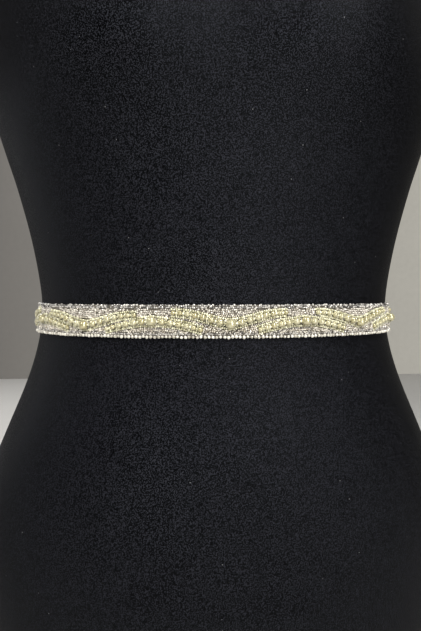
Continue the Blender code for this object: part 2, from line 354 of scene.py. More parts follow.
# Shader groups that several finishes share.


def build_grain_group():
    """Soft uneven patches and fine specks, as a value round a middle."""
    group, given, put = group_with(
        "uneven_grain",
        "ShaderNodeTree",
        {
            "Vector": ("NodeSocketVector", None),
            "Patch Scale": ("NodeSocketFloat", 20.0),
            "Speck Scale": ("NodeSocketFloat", 900.0),
            "Patch Share": ("NodeSocketFloat", 0.6),
        },
        {"Value": ("NodeSocketFloat", None)},
    )
    at = given.outputs
    speck, patch = (
        add_node(group, "ShaderNodeTexNoise", Vector=at["Vector"], Scale=at[scale], Detail=detail)
        for scale, detail in (("Speck Scale", 1.0), ("Patch Scale", 3.0))
    )
    mixed = mix_value(group, at["Patch Share"], speck.outputs["Fac"], patch.outputs["Fac"])
    group.links.new(mixed, put.inputs["Value"])
    return group


def build_knit_group():
    """Fine upright ribs of a jersey from a map in metres, as a height and a mask of the grooves."""
    group, given, put = group_with(
        "rib_knit",
        "ShaderNodeTree",
        {
            "Vector": ("NodeSocketVector", None),
            "Rib Pitch": ("NodeSocketFloat", 0.0014),
            "Stitch Pitch": ("NodeSocketFloat", 0.0010),
        },
        {"Height": ("NodeSocketFloat", None), "Groove": ("NodeSocketFloat", None)},
    )
    at = given.outputs
    place = add_node(group, "ShaderNodeSeparateXYZ", Vector=at["Vector"])
    waves = []
    for axis, pitch in (("X", "Rib Pitch"), ("Y", "Stitch Pitch")):
        turns = sum_of(group, "DIVIDE", place.outputs[axis], at[pitch])
        waves.append(sum_of(group, "COSINE", sum_of(group, "MULTIPLY", turns, math.tau)))
    height = sum_of(group, "ADD", waves[0], sum_of(group, "MULTIPLY", waves[1], STITCH_SHARE))
    most = 1.0 + STITCH_SHARE
    group.links.new(height, put.inputs["Height"])
    group.links.new(ramp(group, height, 1.0, 0.0, -most, most), put.inputs["Groove"])
    return group


def build_tone_group():
    """Each bead's own colour, between two, from the tone that its thread gave it."""
    group, given, put = group_with(
        "bead_tone",
        "ShaderNodeTree",
        {
            "Dark": ("NodeSocketColor", (0.3, 0.3, 0.3, 1.0)),
            "Light": ("NodeSocketColor", (0.9, 0.9, 0.9, 1.0)),
            "Least Roughness": ("NodeSocketFloat", 0.05),
            "Most Roughness": ("NodeSocketFloat", 0.3),
        },
        {"Color": ("NodeSocketColor", None), "Roughness": ("NodeSocketFloat", None)},
    )
    at = given.outputs
    tone = add_node(group, "ShaderNodeAttribute", {"attribute_name": "tone"}).outputs["Fac"]
    group.links.new(mix_colour(group, tone, at["Dark"], at["Light"]), put.inputs["Color"])
    rough = mix_value(group, tone, at["Least Roughness"], at["Most Roughness"])
    group.links.new(rough, put.inputs["Roughness"])
    return group


GRAIN = build_grain_group()
KNIT = build_knit_group()
TONE = build_tone_group()


def new_material(name, **values):
    """A material and its tree, with constants set on the Principled shader's own sockets."""
    made = bpy.data.materials.new(name)
    made.use_nodes = True
    shader = made.node_tree.nodes["Principled BSDF"]
    for key, value in values.items():
        shader.inputs[key.replace("_", " ")].default_value = value
    return made, made.node_tree


def wired(material, **outputs):
    """The material, with nodes' outputs linked to its Principled shader."""
    tree = material.node_tree
    for key, output in outputs.items():
        tree.links.new(output, tree.nodes["Principled BSDF"].inputs[key.replace("_", " ")])
    return material


def use_group(tree, group, **inputs):
    return add_node(tree, "ShaderNodeGroup", {"node_tree": group}, **inputs)


def object_place(tree):
    return add_node(tree, "ShaderNodeTexCoord").outputs["Object"]


def cloth_map(tree):
    return add_node(tree, "ShaderNodeUVMap", {"uv_map": "cloth"}).outputs["UV"]


def grain_at(tree, place, patch_scale, speck_scale, **more):
    made = use_group(tree, GRAIN, Vector=place, Patch_Scale=patch_scale, Speck_Scale=speck_scale, **more)
    return made.outputs["Value"]


def jersey_finish():
    made, tree = new_material(
        "black_speckled_jersey", Specular_IOR_Level=0.068, Specular_Tint=(0.82, 0.87, 1.0, 1.0)
    )
    place = object_place(tree)
    slack = add_node(tree, "ShaderNodeTexNoise", Vector=place, Scale=SLACK_SCALE, Detail=1.0)
    shift = add_node(
        tree,
        "ShaderNodeVectorMath",
        {"operation": "MULTIPLY_ADD"},
        _0=slack.outputs["Color"],
        _1=(SLACK_REACH, SLACK_REACH, 0.0),
        _2=cloth_map(tree),
    )
    knit = use_group(tree, KNIT, Vector=shift.outputs["Vector"], Rib_Pitch=0.0008, Stitch_Pitch=0.0006)
    grain = grain_at(tree, place, 60.0, 1500.0, Patch_Share=0.04)
    speckle = ramp(tree, grain, 0.0, 1.0, *SPECKLE_SPAN)
    ribbed = sum_of(tree, "MULTIPLY", speckle, ramp(tree, knit.outputs["Groove"], 1.0, 0.85))
    # Painted shade: the black is made darker where the surface is seen aslant, towards the form's edges.
    painted_shade_aslant = add_node(tree, "ShaderNodeLayerWeight", Blend=0.5).outputs["Facing"]
    share = sum_of(tree, "MULTIPLY", ribbed, ramp(tree, painted_shade_aslant, 1.0, 0.35, 0.0, 0.7))
    black = mix_colour(tree, share, (0.0002, 0.0002, 0.0003, 1.0), (0.0150, 0.0156, 0.0195, 1.0))
    lint = add_node(
        tree, "ShaderNodeTexVoronoi", {"feature": "F1"}, Vector=place, Scale=LINT_SCALE, Randomness=1.0
    )
    chosen = add_node(tree, "ShaderNodeSeparateColor", Color=lint.outputs["Color"])
    near = sum_of(tree, "LESS_THAN", lint.outputs["Distance"], LINT_SIZE)
    rare = sum_of(tree, "GREATER_THAN", chosen.outputs["Red"], LINT_RARITY)
    fleck = sum_of(tree, "MULTIPLY", near, rare)
    return wired(
        made,
        Base_Color=mix_colour(tree, fleck, black, (0.10, 0.10, 0.105, 1.0)),
        Roughness=ramp(tree, grain, 0.48, 0.72, 0.35, 0.65),
        Normal=bumped(tree, knit.outputs["Height"], 0.15, 0.0002),
    )


def board_finish():
    made, tree = new_material("black_board", Specular_IOR_Level=0.4)
    grain = grain_at(tree, object_place(tree), 30.0, 1200.0)
    return wired(
        made,
        Base_Color=mix_colour(tree, grain, (0.010, 0.010, 0.011, 1.0), (0.028, 0.028, 0.030, 1.0)),
        Roughness=ramp(tree, grain, 0.35, 0.65),
        Normal=bumped(tree, grain, 0.2, 0.0002),
    )


def cloth_finish():
    """The strip's taupe weave, seen between the beads and at the back."""
    made, tree = new_material(
        "taupe_strip_cloth", Specular_IOR_Level=0.2, Sheen_Weight=0.2, Sheen_Roughness=0.5
    )
    place = cloth_map(tree)
    weave = use_group(tree, KNIT, Vector=place, Rib_Pitch=0.0005, Stitch_Pitch=0.0005)
    grain = grain_at(tree, place, 80.0, 2500.0)
    share = sum_of(tree, "MULTIPLY", weave.outputs["Groove"], grain)
    return wired(
        made,
        Base_Color=mix_colour(tree, share, (0.16, 0.142, 0.115, 1.0), (0.038, 0.034, 0.028, 1.0)),
        Roughness=ramp(tree, grain, 0.7, 0.95),
        Normal=bumped(tree, weave.outputs["Height"], 0.5, 0.0001),
    )


def tones(tree, dark, light, least, most):
    """The colour and roughness of beads that differ a little from one to the next."""
    made = use_group(
        tree, TONE, Dark=(*dark, 1.0), Light=(*light, 1.0), Least_Roughness=least, Most_Roughness=most
    )
    return {"Base_Color": made.outputs["Color"], "Roughness": made.outputs["Roughness"]}


def bead_finish(name, dark, light, roughness, metallic):
    made, tree = new_material(name, Metallic=metallic, Coat_Weight=1.0, Coat_Roughness=0.04, Coat_IOR=1.5)
    return wired(made, **tones(tree, dark, light, *roughness))


def pearl_finish():
    """Ivory lustre: a golden body under a clear hard gloss, with a pale sheen."""
    made, tree = new_material(
        "ivory_pearl",
        Metallic=0.4,
        Coat_Weight=1.0,
        Coat_Roughness=0.04,
        Coat_IOR=1.8,
        Specular_IOR_Level=0.6,
        Sheen_Weight=1.0,
        Sheen_Roughness=0.22,
        Sheen_Tint=(1.0, 0.97, 0.80, 1.0),
    )
    grain = grain_at(tree, object_place(tree), 700.0, 4000.0)
    return wired(
        made,
        Normal=bumped(tree, grain, 0.06, 0.0001),
        **tones(tree, (0.365, 0.328, 0.17), (0.46, 0.432, 0.275), 0.22, 0.32),
    )


def wire_finish():
    made, tree = new_material("silver_wire", Metallic=1.0)
    grain = grain_at(tree, object_place(tree), 500.0, 5000.0)
    return wired(
        made,
        Base_Color=mix_colour(tree, grain, (0.50, 0.50, 0.51, 1.0), (0.80, 0.80, 0.79, 1.0)),
        Roughness=ramp(tree, grain, 0.15, 0.4),
    )


# Geometry node trees for beads on a thread and for pearls.


def chance_of(tree, kind, seed, **inputs):
    """A random value of one kind, whose output's number is the kind's own."""
    made = add_node(tree, "FunctionNodeRandomValue", {"data_type": kind}, Seed=seed, **inputs)
    return made.outputs[{"FLOAT_VECTOR": 0, "FLOAT": 1, "BOOLEAN": 3}[kind]]


def either_way(tree, reach, seed):
    """A random vector whose parts lie between minus reach and reach."""
    return chance_of(tree, "FLOAT_VECTOR", seed, _0=sum_of(tree, "MULTIPLY", reach, -1.0), _1=reach)


def build_thread_tree():
    """Beads threaded on every edge path of a mesh, each turned, sized and toned by chance."""
    group, given, put = group_with(
        "beads_on_threads",
        "GeometryNodeTree",
        {
            "Geometry": ("NodeSocketGeometry", None),
            "Pitch": ("NodeSocketFloat", 0.0014),
            "Radius": ("NodeSocketFloat", 0.0008),
            "Length": ("NodeSocketFloat", 0.0012),
            "Size Spread": ("NodeSocketFloat", 0.1),
            "Tilt": ("NodeSocketFloat", 0.2),
            "Stray": ("NodeSocketFloat", 0.0001),
            "Missing": ("NodeSocketFloat", 0.0),
            "Around": ("NodeSocketInt", 8),
            "Across": ("NodeSocketInt", 5),
            "Seed": ("NodeSocketInt", 1),
            "Material": ("NodeSocketMaterial", None),
        },
        {"Geometry": ("NodeSocketGeometry", None)},
    )
    at = given.outputs
    paths = add_node(group, "GeometryNodeMeshToCurve", Mesh=at["Geometry"])
    places = add_node(
        group,
        "GeometryNodeCurveToPoints",
        {"mode": "LENGTH"},
        Curve=paths.outputs["Curve"],
        Length=at["Pitch"],
    )
    kept = add_node(
        group,
        "GeometryNodeDeleteGeometry",
        {"domain": "POINT"},
        Geometry=places.outputs["Points"],
        Selection=chance_of(group, "BOOLEAN", at["Seed"], Probability=at["Missing"]),
    )
    moved = add_node(
        group,
        "GeometryNodeSetPosition",
        Geometry=kept.outputs["Geometry"],
        Offset=either_way(group, at["Stray"], at["Seed"]),
    )
    middle = sum_of(group, "MULTIPLY", at["Radius"], HOLE_SHARE)
    wall = sum_of(group, "SUBTRACT", at["Radius"], middle)
    ring, section = (
        add_node(group, "GeometryNodeCurvePrimitiveCircle", Resolution=count, Radius=radius)
        for count, radius in ((at["Around"], middle), (at["Across"], wall))
    )
    bead = add_node(
        group,
        "GeometryNodeCurveToMesh",
        Curve=ring.outputs["Curve"],
        Profile_Curve=section.outputs["Curve"],
    )
    stretch = sum_of(group, "DIVIDE", at["Length"], sum_of(group, "MULTIPLY", wall, 2.0))
    sizes = add_node(group, "ShaderNodeCombineXYZ", X=1.0, Y=1.0, Z=stretch)
    shaped = add_node(
        group, "GeometryNodeTransform", Geometry=bead.outputs["Mesh"], Scale=sizes.outputs["Vector"]
    )
    threaded = add_node(
        group, "FunctionNodeAlignRotationToVector", {"axis": "Z"}, Vector=places.outputs["Tangent"]
    )
    tilted = add_node(
        group, "FunctionNodeEulerToRotation", Euler=either_way(group, at["Tilt"], at["Seed"])
    )
    turned = add_node(
        group,
        "FunctionNodeRotateRotation",
        {"rotation_space": "LOCAL"},
        Rotation=threaded.outputs["Rotation"],
        Rotate_By=tilted.outputs["Rotation"],
    )
    least = sum_of(group, "SUBTRACT", 1.0, at["Size Spread"])
    most = sum_of(group, "ADD", 1.0, at["Size Spread"])
    beads = add_node(
        group,
        "GeometryNodeInstanceOnPoints",
        Points=moved.outputs["Geometry"],
        Instance=shaped.outputs["Geometry"],
        Rotation=turned.outputs["Rotation"],
        Scale=chance_of(group, "FLOAT", at["Seed"], _2=least, _3=most),
    )
    finish_tree(group, put, at, beads.outputs["Instances"])
    return group


def finish_tree(group, put, at, instances):
    """Gives each instance its tone, makes it real and smooth, and sets the finish."""
    tone_seed = sum_of(group, "ADD", at["Seed"], TONE_SEED_STEP)
    stored = add_node(
        group,
        "GeometryNodeStoreNamedAttribute",
        {"data_type": "FLOAT", "domain": "INSTANCE"},
        Geometry=instances,
        Name="tone",
        Value=chance_of(group, "FLOAT", tone_seed),
    )
    real = add_node(group, "GeometryNodeRealizeInstances", Geometry=stored.outputs["Geometry"])
    smooth = add_node(group, "GeometryNodeSetShadeSmooth", Geometry=real.outputs["Geometry"])
    finished = add_node(
        group, "GeometryNodeSetMaterial", Geometry=smooth.outputs["Geometry"], Material=at["Material"]
    )
    group.links.new(finished.outputs["Geometry"], put.inputs["Geometry"])


def build_pearl_tree():
    """A pearl on each point of a mesh, as wide as the point's own size."""
    group, given, put = group_with(
        "pearls_on_points",
        "GeometryNodeTree",
        {
            "Geometry": ("NodeSocketGeometry", None),
            "Around": ("NodeSocketInt", 22),
            "Rows": ("NodeSocketInt", 14),
            "Seed": ("NodeSocketInt", 1),
            "Material": ("NodeSocketMaterial", None),
        },
        {"Geometry": ("NodeSocketGeometry", None)},
    )
    at = given.outputs
    ball = add_node(
        group, "GeometryNodeMeshUVSphere", Segments=at["Around"], Rings=at["Rows"], Radius=0.5
    )
    size = add_node(group, "GeometryNodeInputNamedAttribute", {"data_type": "FLOAT"}, Name="size")
    pearls = add_node(
        group,
        "GeometryNodeInstanceOnPoints",
        Points=at["Geometry"],
        Instance=ball.outputs["Mesh"],
        Rotation=chance_of(group, "FLOAT_VECTOR", at["Seed"], _1=(math.tau, math.tau, math.tau)),
        Scale=size.outputs["Attribute"],
    )
    finish_tree(group, put, at, pearls.outputs["Instances"])
    return group


THREADS = build_thread_tree()
PEARLS = build_pearl_tree()


def link(name, mesh):
    made = bpy.data.objects.new(name, mesh)
    bpy.context.scene.collection.objects.link(made)
    return made


def grow(name, seed_mesh, tree, **inputs):
    """Runs a geometry node tree on a mesh and returns the plain piece that it makes."""
    base = link(name + "_base", seed_mesh)
    modifier = base.modifiers.new("grow", "NODES")
    modifier.node_group = tree
    for key, value in inputs.items():
        modifier[socket_of(tree, key.replace("_", " "))] = value
    graph = bpy.context.evaluated_depsgraph_get()
    mesh = bpy.data.meshes.new_from_object(base.evaluated_get(graph), depsgraph=graph)
    mesh.name = name
    bpy.data.objects.remove(base)
    return link(name, mesh)


def thread_mesh(name, runs):
    """A mesh of edge paths, one through each run of points."""
    points = np.vstack(runs)
    edges = []
    first = 0
    for run in runs:
        edges += [(first + n, first + n + 1) for n in range(len(run) - 1)]
        first += len(run)
    mesh = bpy.data.meshes.new(name)
    mesh.from_pydata([tuple(p) for p in points.tolist()], edges, [])
    return mesh


# The dress form, drawn finely through the solid's own rings.


def finer_rings(rings):
    """The rings with more points round each and more rings between them."""
    count = rings.shape[1]
    wrapped = np.concatenate([rings[:, -2:], rings, rings[:, :3]], axis=1)
    knots = np.arange(-2, count + 3, dtype=float)
    at = np.arange(count * SIDE_STEPS) / SIDE_STEPS
    rings = curve_through(wrapped.swapaxes(0, 1), knots, at).swapaxes(0, 1)
    rise = np.linalg.norm(np.diff(rings.mean(axis=1), axis=0), axis=1)
    inset = np.linalg.norm(np.diff(rings[:, 0], axis=0), axis=1)
    knots = np.concatenate([[0], np.cumsum(np.maximum(rise, inset))])
    steps = np.arange((len(knots) - 1) * HEIGHT_STEPS + 1) / HEIGHT_STEPS
    at = np.interp(steps, np.arange(len(knots)), knots)
    return curve_through(rings, knots, at)


def skin_over(name, points, finish, side_map, cap_map):
    """A closed skin over rows of points, mapped in metres by each corner's row and place round it."""
    rows, count = points.shape[:2]
    faces = []
    maps = []
    for row in range(rows - 1):
        for k in range(count):
            after = (k + 1) % count
            low, high = row * count, (row + 1) * count
            faces.append((low + k, low + after, high + after, high + k))
            corners = ((row, k), (row, k + 1), (row + 1, k + 1), (row + 1, k))
            maps += [side_map(*corner) for corner in corners]
    for row, turn in ((0, range(count - 1, -1, -1)), (rows - 1, range(count))):
        faces.append(tuple(row * count + k for k in turn))
        maps += [cap_map(row, k) for k in turn]
    mesh = bpy.data.meshes.new(name)
    mesh.from_pydata([tuple(p) for p in points.reshape(-1, 3).tolist()], [], faces)
    layer = mesh.uv_layers.new(name="cloth")
    layer.data.foreach_set("uv", np.array(maps, dtype=np.float32).ravel())
    mesh.materials.append(finish)
    return link(name, mesh)


def build_form(jersey):
    rings = finer_rings(FORM_RINGS)
    count = rings.shape[1]

    def place_on_map(row, k):
        return k / count * BELT.length, rings[row, k % count, 2]

    made = skin_over("jersey_dress_form", rings, jersey, place_on_map, place_on_map)
    made.data.shade_smooth()
    made.data.set_sharp_from_angle(angle=SHARP_FROM)
    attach(made, "root")
    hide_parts("form_torso")


# The belt's cloth strip.


def build_cloth(finish):
    """The strip that everything is sewn to: a thin closed wall on the belt's line."""
    half = BELT_HEIGHT / 2 - CLOTH_INSET
    along = np.linspace(-HALF_LENGTH, HALF_LENGTH, int(2 * HALF_LENGTH / CLOTH_STEP))
    section = ((half, 0.0), (half, CLOTH), (0.0, CLOTH), (-half, CLOTH), (-half, 0.0), (0.0, 0.0))
    girth = np.cumsum([0.0, CLOTH, half, half, CLOTH, half, half])
    points = np.concatenate([BELT.points(along, up, out)[:, None] for up, out in section], axis=1)
    made = skin_over(
        "belt_cloth_strip",
        points,
        finish,
        lambda row, k: (along[row], girth[k]),
        lambda row, k: (section[k][1], section[k][0]),
    )
    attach(made, "root")
    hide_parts("belt_band")
    return made


# The pearl arcs.


def dip_height(u):
    share = np.minimum(np.abs(u) / DIP_REACH, 1.0)
    return DIP_LOW + DIP_RISE * np.sin(math.pi / 2 * share) ** DIP_POWER


def rise_height(u):
    return -RISE_DROP * (np.abs(u) / RISE_REACH) ** RISE_POWER


def pearls_of(height_of, count, spacer):
    """(distance, diameter) of an arc's pearls from its middle, one side, along the arc's curve."""
    spread = np.linspace(0, 2 * DIP_REACH, ARC_SAMPLES)
    run = np.concatenate([[0], np.cumsum(np.hypot(np.diff(spread), np.diff(height_of(spread))))])
    made = [(0.0, MAIN_PEARL)]
    length = MAIN_PEARL / 2
    for size in SIDE_PEARLS[:count]:
        length += spacer + size / 2
        made.append((float(np.interp(length, run, spread)), size))
        length += size / 2
    return made


class PearlArc:
    """One strand: its pearls, the seed beads between them, and the cream rows beside them."""

    def __init__(self, number):
        self.step = number - ARC_COUNT // 2
        self.name = f"pearl_arc_{number + 1:02d}"
        along, self.lift = ARC_SHIFTS.get(self.step, (0.0, 0.0))
        self.middle = self.step * ARC_STEP + along
        dips = self.step % 2 == 0
        self.curve = dip_height if dips else rise_height
        count = len(SIDE_PEARLS) if dips else len(SIDE_PEARLS) - 1
        one_side = pearls_of(self.curve, count, DIP_SPACER if dips else RISE_SPACER)
        self.profile = np.array(one_side)
        self.pearls = [(-at, size) for at, size in reversed(one_side[1:])] + one_side

    def height_of(self, u):
        return self.lift + self.curve(u)

    def side_way(self, u):
        """Unit vector across the strand, as (along, up)."""
        rise = self.height_of(u + SLOPE_REACH) - self.height_of(u - SLOPE_REACH)
        slope = rise / (2 * SLOPE_REACH)
        long = np.hypot(1.0, slope)
        return -slope / long, 1.0 / long

    def pearl_places(self):
        at = np.array([p[0] for p in self.pearls])
        size = np.array([p[1] for p in self.pearls])
        return self.middle + at, self.height_of(at), CLOTH + size / 2, size

    def spacer_places(self):
        """Where a spacer bead lies between each two neighbouring pearls, as (distance, out)."""
        made = []
        for (near, near_size), (far, far_size) in zip(self.pearls, self.pearls[1:]):
            middle = (near + near_size / 2 + far - far_size / 2) / 2
            made.append((middle, CLOTH + (near_size + far_size) / 4))
        return made

    def beside(self, u, side, bead):
        """Places of a bead that lies against the pearls, above them if side is 1 and below if -1."""
        pearl = np.interp(np.abs(u), self.profile[:, 0], self.profile[:, 1] / 2)
        reach = side * nestled(pearl, bead)
        across, up = self.side_way(u)
        return self.middle + u + reach * across, self.height_of(u) + reach * up


ARCS = [PearlArc(n) for n in range(ARC_COUNT)]


def build_pearls(pearl, sheet_pieces):
    for arc in ARCS:
        along, up, out, size = arc.pearl_places()
        points = BELT.points(along, up, out)
        mesh = bpy.data.meshes.new(arc.name)
        mesh.from_pydata([tuple(p) for p in points.tolist()], [], [])
        sizes = mesh.attributes.new("size", "FLOAT", "POINT")
        sizes.data.foreach_set("value", size.astype(np.float32))
        made = grow(arc.name + "_pearls", mesh, PEARLS, Seed=arc.step + ARC_SEED_STEP, Material=pearl)
        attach(made, "root")
        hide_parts(arc.name)
        sheet_pieces.append(made)


def strand_beads():
    """Places of the strands' single beads, as (along, up, out): the spacers, then the notch beads."""
    spacers = []
    notches = []
    for arc in ARCS:
        for u, out in arc.spacer_places():
            spacers.append((arc.middle + u, arc.height_of(u), out))
            for side in (1, -1):
                outer = arc.beside(u, side, CREAM_RADIUS)
                along = arc.middle + u + (outer[0] - arc.middle - u) / 2
                up = (outer[1] + arc.height_of(u)) / 2
                notches.append((along, up, CLOTH + NOTCH_RADIUS))
    return np.array(spacers), np.array(notches)


def single_runs(places):
    """A very short thread path for each single bead, level along the belt."""
    touch = np.array([-TOUCH, TOUCH])
    return [BELT.points(along + touch, up, out) for along, up, out in places.tolist()]


# The ground of seed beads.


def nestled(pearl, bead):
    """How far in plan a bead's middle lies from a pearl's, when both rest on the cloth and touch."""
    return 2 * np.sqrt(pearl * bead)


def split_runs(places, keep):
    """The stretches of a path where keep holds, left out where they are too short for a bead."""
    change = np.nonzero(np.diff(np.concatenate([[False], keep, [False]]).astype(int)))[0]
    runs = []
    for start, end in zip(change[::2], change[1::2]):
        run = places[start:end]
        if len(run) > 1 and np.linalg.norm(run[-1] - run[0]) > SHORTEST_RUN:
            runs.append(run)
    return runs


def beads_on(runs, pitch):
    """Middles of the beads that the thread tree sets on each run."""
    made = []
    for run in runs:
        step = np.linalg.norm(np.diff(run, axis=0), axis=1)
        place = np.concatenate([[0], np.cumsum(step)])
        at = np.linspace(0, place[-1], int(place[-1] / pitch) + 1)
        made.append(np.stack([np.interp(at, place, run[:, c]) for c in range(2)], axis=1))
    return np.vstack(made)


def far_from(places, others, least):
    """Which places lie further than least from every other, where least may differ for each other."""
    keep = np.ones(len(places), bool)
    for start in range(0, len(places), PLACES_AT_ONCE):
        part = places[start : start + PLACES_AT_ONCE]
        near = (others[:, 0] > part[:, 0].min() - FAR) & (others[:, 0] < part[:, 0].max() + FAR)
        if near.any():
            gap = np.linalg.norm(part[:, None] - others[None, near], axis=2)
            gap -= least[near] if isinstance(least, np.ndarray) else least
            keep[start : start + PLACES_AT_ONCE] = gap.min(axis=1) > 0
    return keep


def all_pearls():
    places = []
    sizes = []
    for arc in ARCS:
        along, up, _, size = arc.pearl_places()
        places.append(np.stack([along, up], axis=1))
        sizes.append(size)
    return np.vstack(places), np.concatenate(sizes)


PEARL_PLACES, PEARL_SIZES = all_pearls()
SPACERS, NOTCHES = strand_beads()


def clear_of_pearls(run, radius):
    return far_from(run, PEARL_PLACES, nestled(PEARL_SIZES / 2, radius) * PEARL_CLOSENESS)


def cream_runs():
    """Rows of cream beads against both sides of every strand."""
    runs = []
    for arc in ARCS:
        reach = arc.profile[-1, 0] + CREAM_RADIUS
        u = np.arange(-reach, reach, ROW_SAMPLE)
        for side in (1, -1):
            run = np.stack(arc.beside(u, side, CREAM_RADIUS), axis=1)
            inside = (np.abs(run[:, 1]) < CREAM_LIMIT) & (np.abs(run[:, 0]) < HALF_LENGTH - CREAM_RADIUS)
            taken = clear_of_pearls(run, CREAM_RADIUS)
            if runs:
                taken &= far_from(run, np.vstack(runs), CREAM_RADIUS * CREAM_SPACING)
            runs += split_runs(run, inside & taken)
    return runs


def ground_runs(others):
    """Wavy rows that follow the arcs, kept clear of the pearls and of the cream rows."""
    along = np.arange(-HALF_LENGTH + SEED_RADIUS, HALF_LENGTH - SEED_RADIUS, ROW_SAMPLE)
    wave = -WAVE_HEIGHT * np.cos(math.pi * along / ARC_STEP)
    runs = []
    for level in np.arange(GROUND_LOW - WAVE_HEIGHT, GROUND_HIGH + WAVE_HEIGHT, ROW_PITCH):
        row = np.stack([along, level + wave], axis=1)
        inside = (row[:, 1] > GROUND_LOW) & (row[:, 1] < GROUND_HIGH)
        clear = far_from(row, others, (CREAM_RADIUS + SEED_RADIUS) * ROW_CLOSENESS)
        runs += split_runs(row, inside & clear & clear_of_pearls(row, SEED_RADIUS))
    return runs


def straight_runs(height, radius, others=None):
    along = np.arange(-HALF_LENGTH + radius, HALF_LENGTH - radius, ROW_SAMPLE)
    row = np.stack([along, np.full(len(along), height)], axis=1)
    keep = clear_of_pearls(row, radius)
    if others is not None:
        keep &= far_from(row, others, (CREAM_RADIUS + radius) * ROW_CLOSENESS)
    return split_runs(row, keep)


def gap_beads(taken, radii):
    """Places of loose beads in the gaps that every row leaves."""
    chance = np.random.default_rng(GAP_SEED)
    reach = UPPER_RIM_HEIGHT - GAP_RADIUS
    count = int(2 * HALF_LENGTH * 2 * reach * SQUARE_MILLIMETRES * GAP_TRIES)
    last = HALF_LENGTH - GAP_RADIUS
    tries = chance.uniform((-last, -reach), (last, reach), (count, 2))
    tries = tries[np.argsort(tries[:, 0] // SORT_LENGTH, kind="stable")]
    tries = tries[far_from(tries, taken, (radii + GAP_RADIUS) * GAP_CLOSENESS)]
    tries = tries[clear_of_pearls(tries, GAP_RADIUS)]
    kept = []
    least = 2 * GAP_RADIUS * GAP_CLOSENESS
    for place in tries:
        recent = np.array(kept[-GAP_MEMORY:]).reshape(-1, 2)
        if not len(recent) or np.linalg.norm(recent - place, axis=1).min() > least:
            kept.append(place)
    kept = np.array(kept)
    thinned = (kept[:, 1] > OPEN_FROM) & (chance.random(len(kept)) < OPEN_SHARE)
    return kept[~thinned]


def laid(runs, out):
    """Runs of (along, up) as points of the part, all at one distance out."""
    return [BELT.points(run[:, 0], run[:, 1], out) for run in runs]


def build_beads(glass, sheet_pieces):
    cream = cream_runs()
    strand = np.vstack([SPACERS[:, :2], NOTCHES[:, :2]])
    cream_beads = np.vstack([beads_on(cream, CREAM_PITCH), strand])
    ground = ground_runs(cream_beads)
    upper_edge = straight_runs(UPPER_EDGE_HEIGHT, SEED_RADIUS, cream_beads)
    lower_edge = straight_runs(LOWER_EDGE_HEIGHT, SEED_RADIUS, cream_beads)
    upper_rim = straight_runs(UPPER_RIM_HEIGHT, SEED_RADIUS)
    lower_rim = straight_runs(LOWER_RIM_HEIGHT, RIM_RADIUS)
    seeds = beads_on(ground + upper_edge + lower_edge + upper_rim, SEED_PITCH)
    rims = beads_on(lower_rim, RIM_PITCH)
    taken = np.vstack([cream_beads, seeds, rims])
    radii = np.repeat([CREAM_RADIUS, SEED_RADIUS, RIM_RADIUS], [len(cream_beads), len(seeds), len(rims)])
    gaps = gap_beads(taken, radii)
    gap_places = np.column_stack([gaps, np.full(len(gaps), CLOTH + GAP_OUT)])
    high = [run for run in ground if run[:, 1].mean() > HIGH_FROM]
    low = [run for run in ground if run[:, 1].mean() <= HIGH_FROM]
    cream_out = CLOTH + CREAM_RADIUS
    seed_out = CLOTH + SEED_RADIUS
    rim_out = CLOTH + RIM_RADIUS
    cream_size = (CREAM_RADIUS, CREAM_LENGTH, CREAM_PITCH)
    spacer_size = (SPACER_RADIUS, SPACER_LENGTH, SPACER_LENGTH)
    notch_size = (NOTCH_RADIUS, 2 * NOTCH_RADIUS, SPACER_LENGTH)
    seed_size = (SEED_RADIUS, SEED_LENGTH, SEED_PITCH)
    gap_size = (GAP_RADIUS, GAP_LENGTH, GAP_LENGTH)
    rim_size = (RIM_RADIUS, RIM_LENGTH, RIM_PITCH)
    # Name, threads, glass, size, seed, then how far the beads tilt, stray and differ, and the share missing.
    table = (
        ("cream_seed_rows", laid(cream, cream_out), "cream", cream_size, 3, 0.35, 0.00014, 0.12, 0.0),
        ("spacer_beads", single_runs(SPACERS), "cream", spacer_size, 4, 0.15, 0.00004, 0.1, 0.0),
        ("notch_beads", single_runs(NOTCHES), "cream", notch_size, 9, 1.2, 0.00022, 0.15, 0.0),
        ("upper_ground_seed_rows", laid(high, seed_out), "grey", seed_size, 5, 0.6, 0.0002, 0.18, 0.03),
        ("lower_ground_seed_rows", laid(low, seed_out), "warm", seed_size, 15, 0.6, 0.0002, 0.18, 0.03),
        ("upper_edge_seed_row", laid(upper_edge, seed_out), "clear", seed_size, 6, 0.6, 0.0002, 0.18, 0.12),
        ("lower_edge_seed_row", laid(lower_edge, seed_out), "soft", seed_size, 16, 0.6, 0.0002, 0.18, 0.04),
        ("gap_beads_a", single_runs(gap_places[::2]), "soft", gap_size, 10, 1.5, 0.00008, 0.15, 0.0),
        ("gap_beads_b", single_runs(gap_places[1::2]), "warm", gap_size, 20, 1.5, 0.00008, 0.15, 0.0),
        ("lower_rim_beads", laid(lower_rim, rim_out), "rim", rim_size, 7, 0.5, 0.00022, 0.14, 0.0),
        ("upper_rim_beads", laid(upper_rim, seed_out), "clear", UPPER_RIM_SIZE, 8, 0.8, 0.00034, 0.2, 0.08),
    )
    for name, runs, kind, (radius, length, pitch), seed, tilt, stray, spread, missing in table:
        around, across = RIM_SIDES if kind == "rim" else SEED_SIDES
        made = grow(
            name,
            thread_mesh(name, runs),
            THREADS,
            Pitch=pitch,
            Radius=radius,
            Length=length,
            Seed=seed,
            Tilt=tilt,
            Stray=stray,
            Size_Spread=spread,
            Missing=missing,
            Around=around,
            Across=across,
            Material=glass[kind],
        )
        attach(made, "root")
        sheet_pieces.append(made)


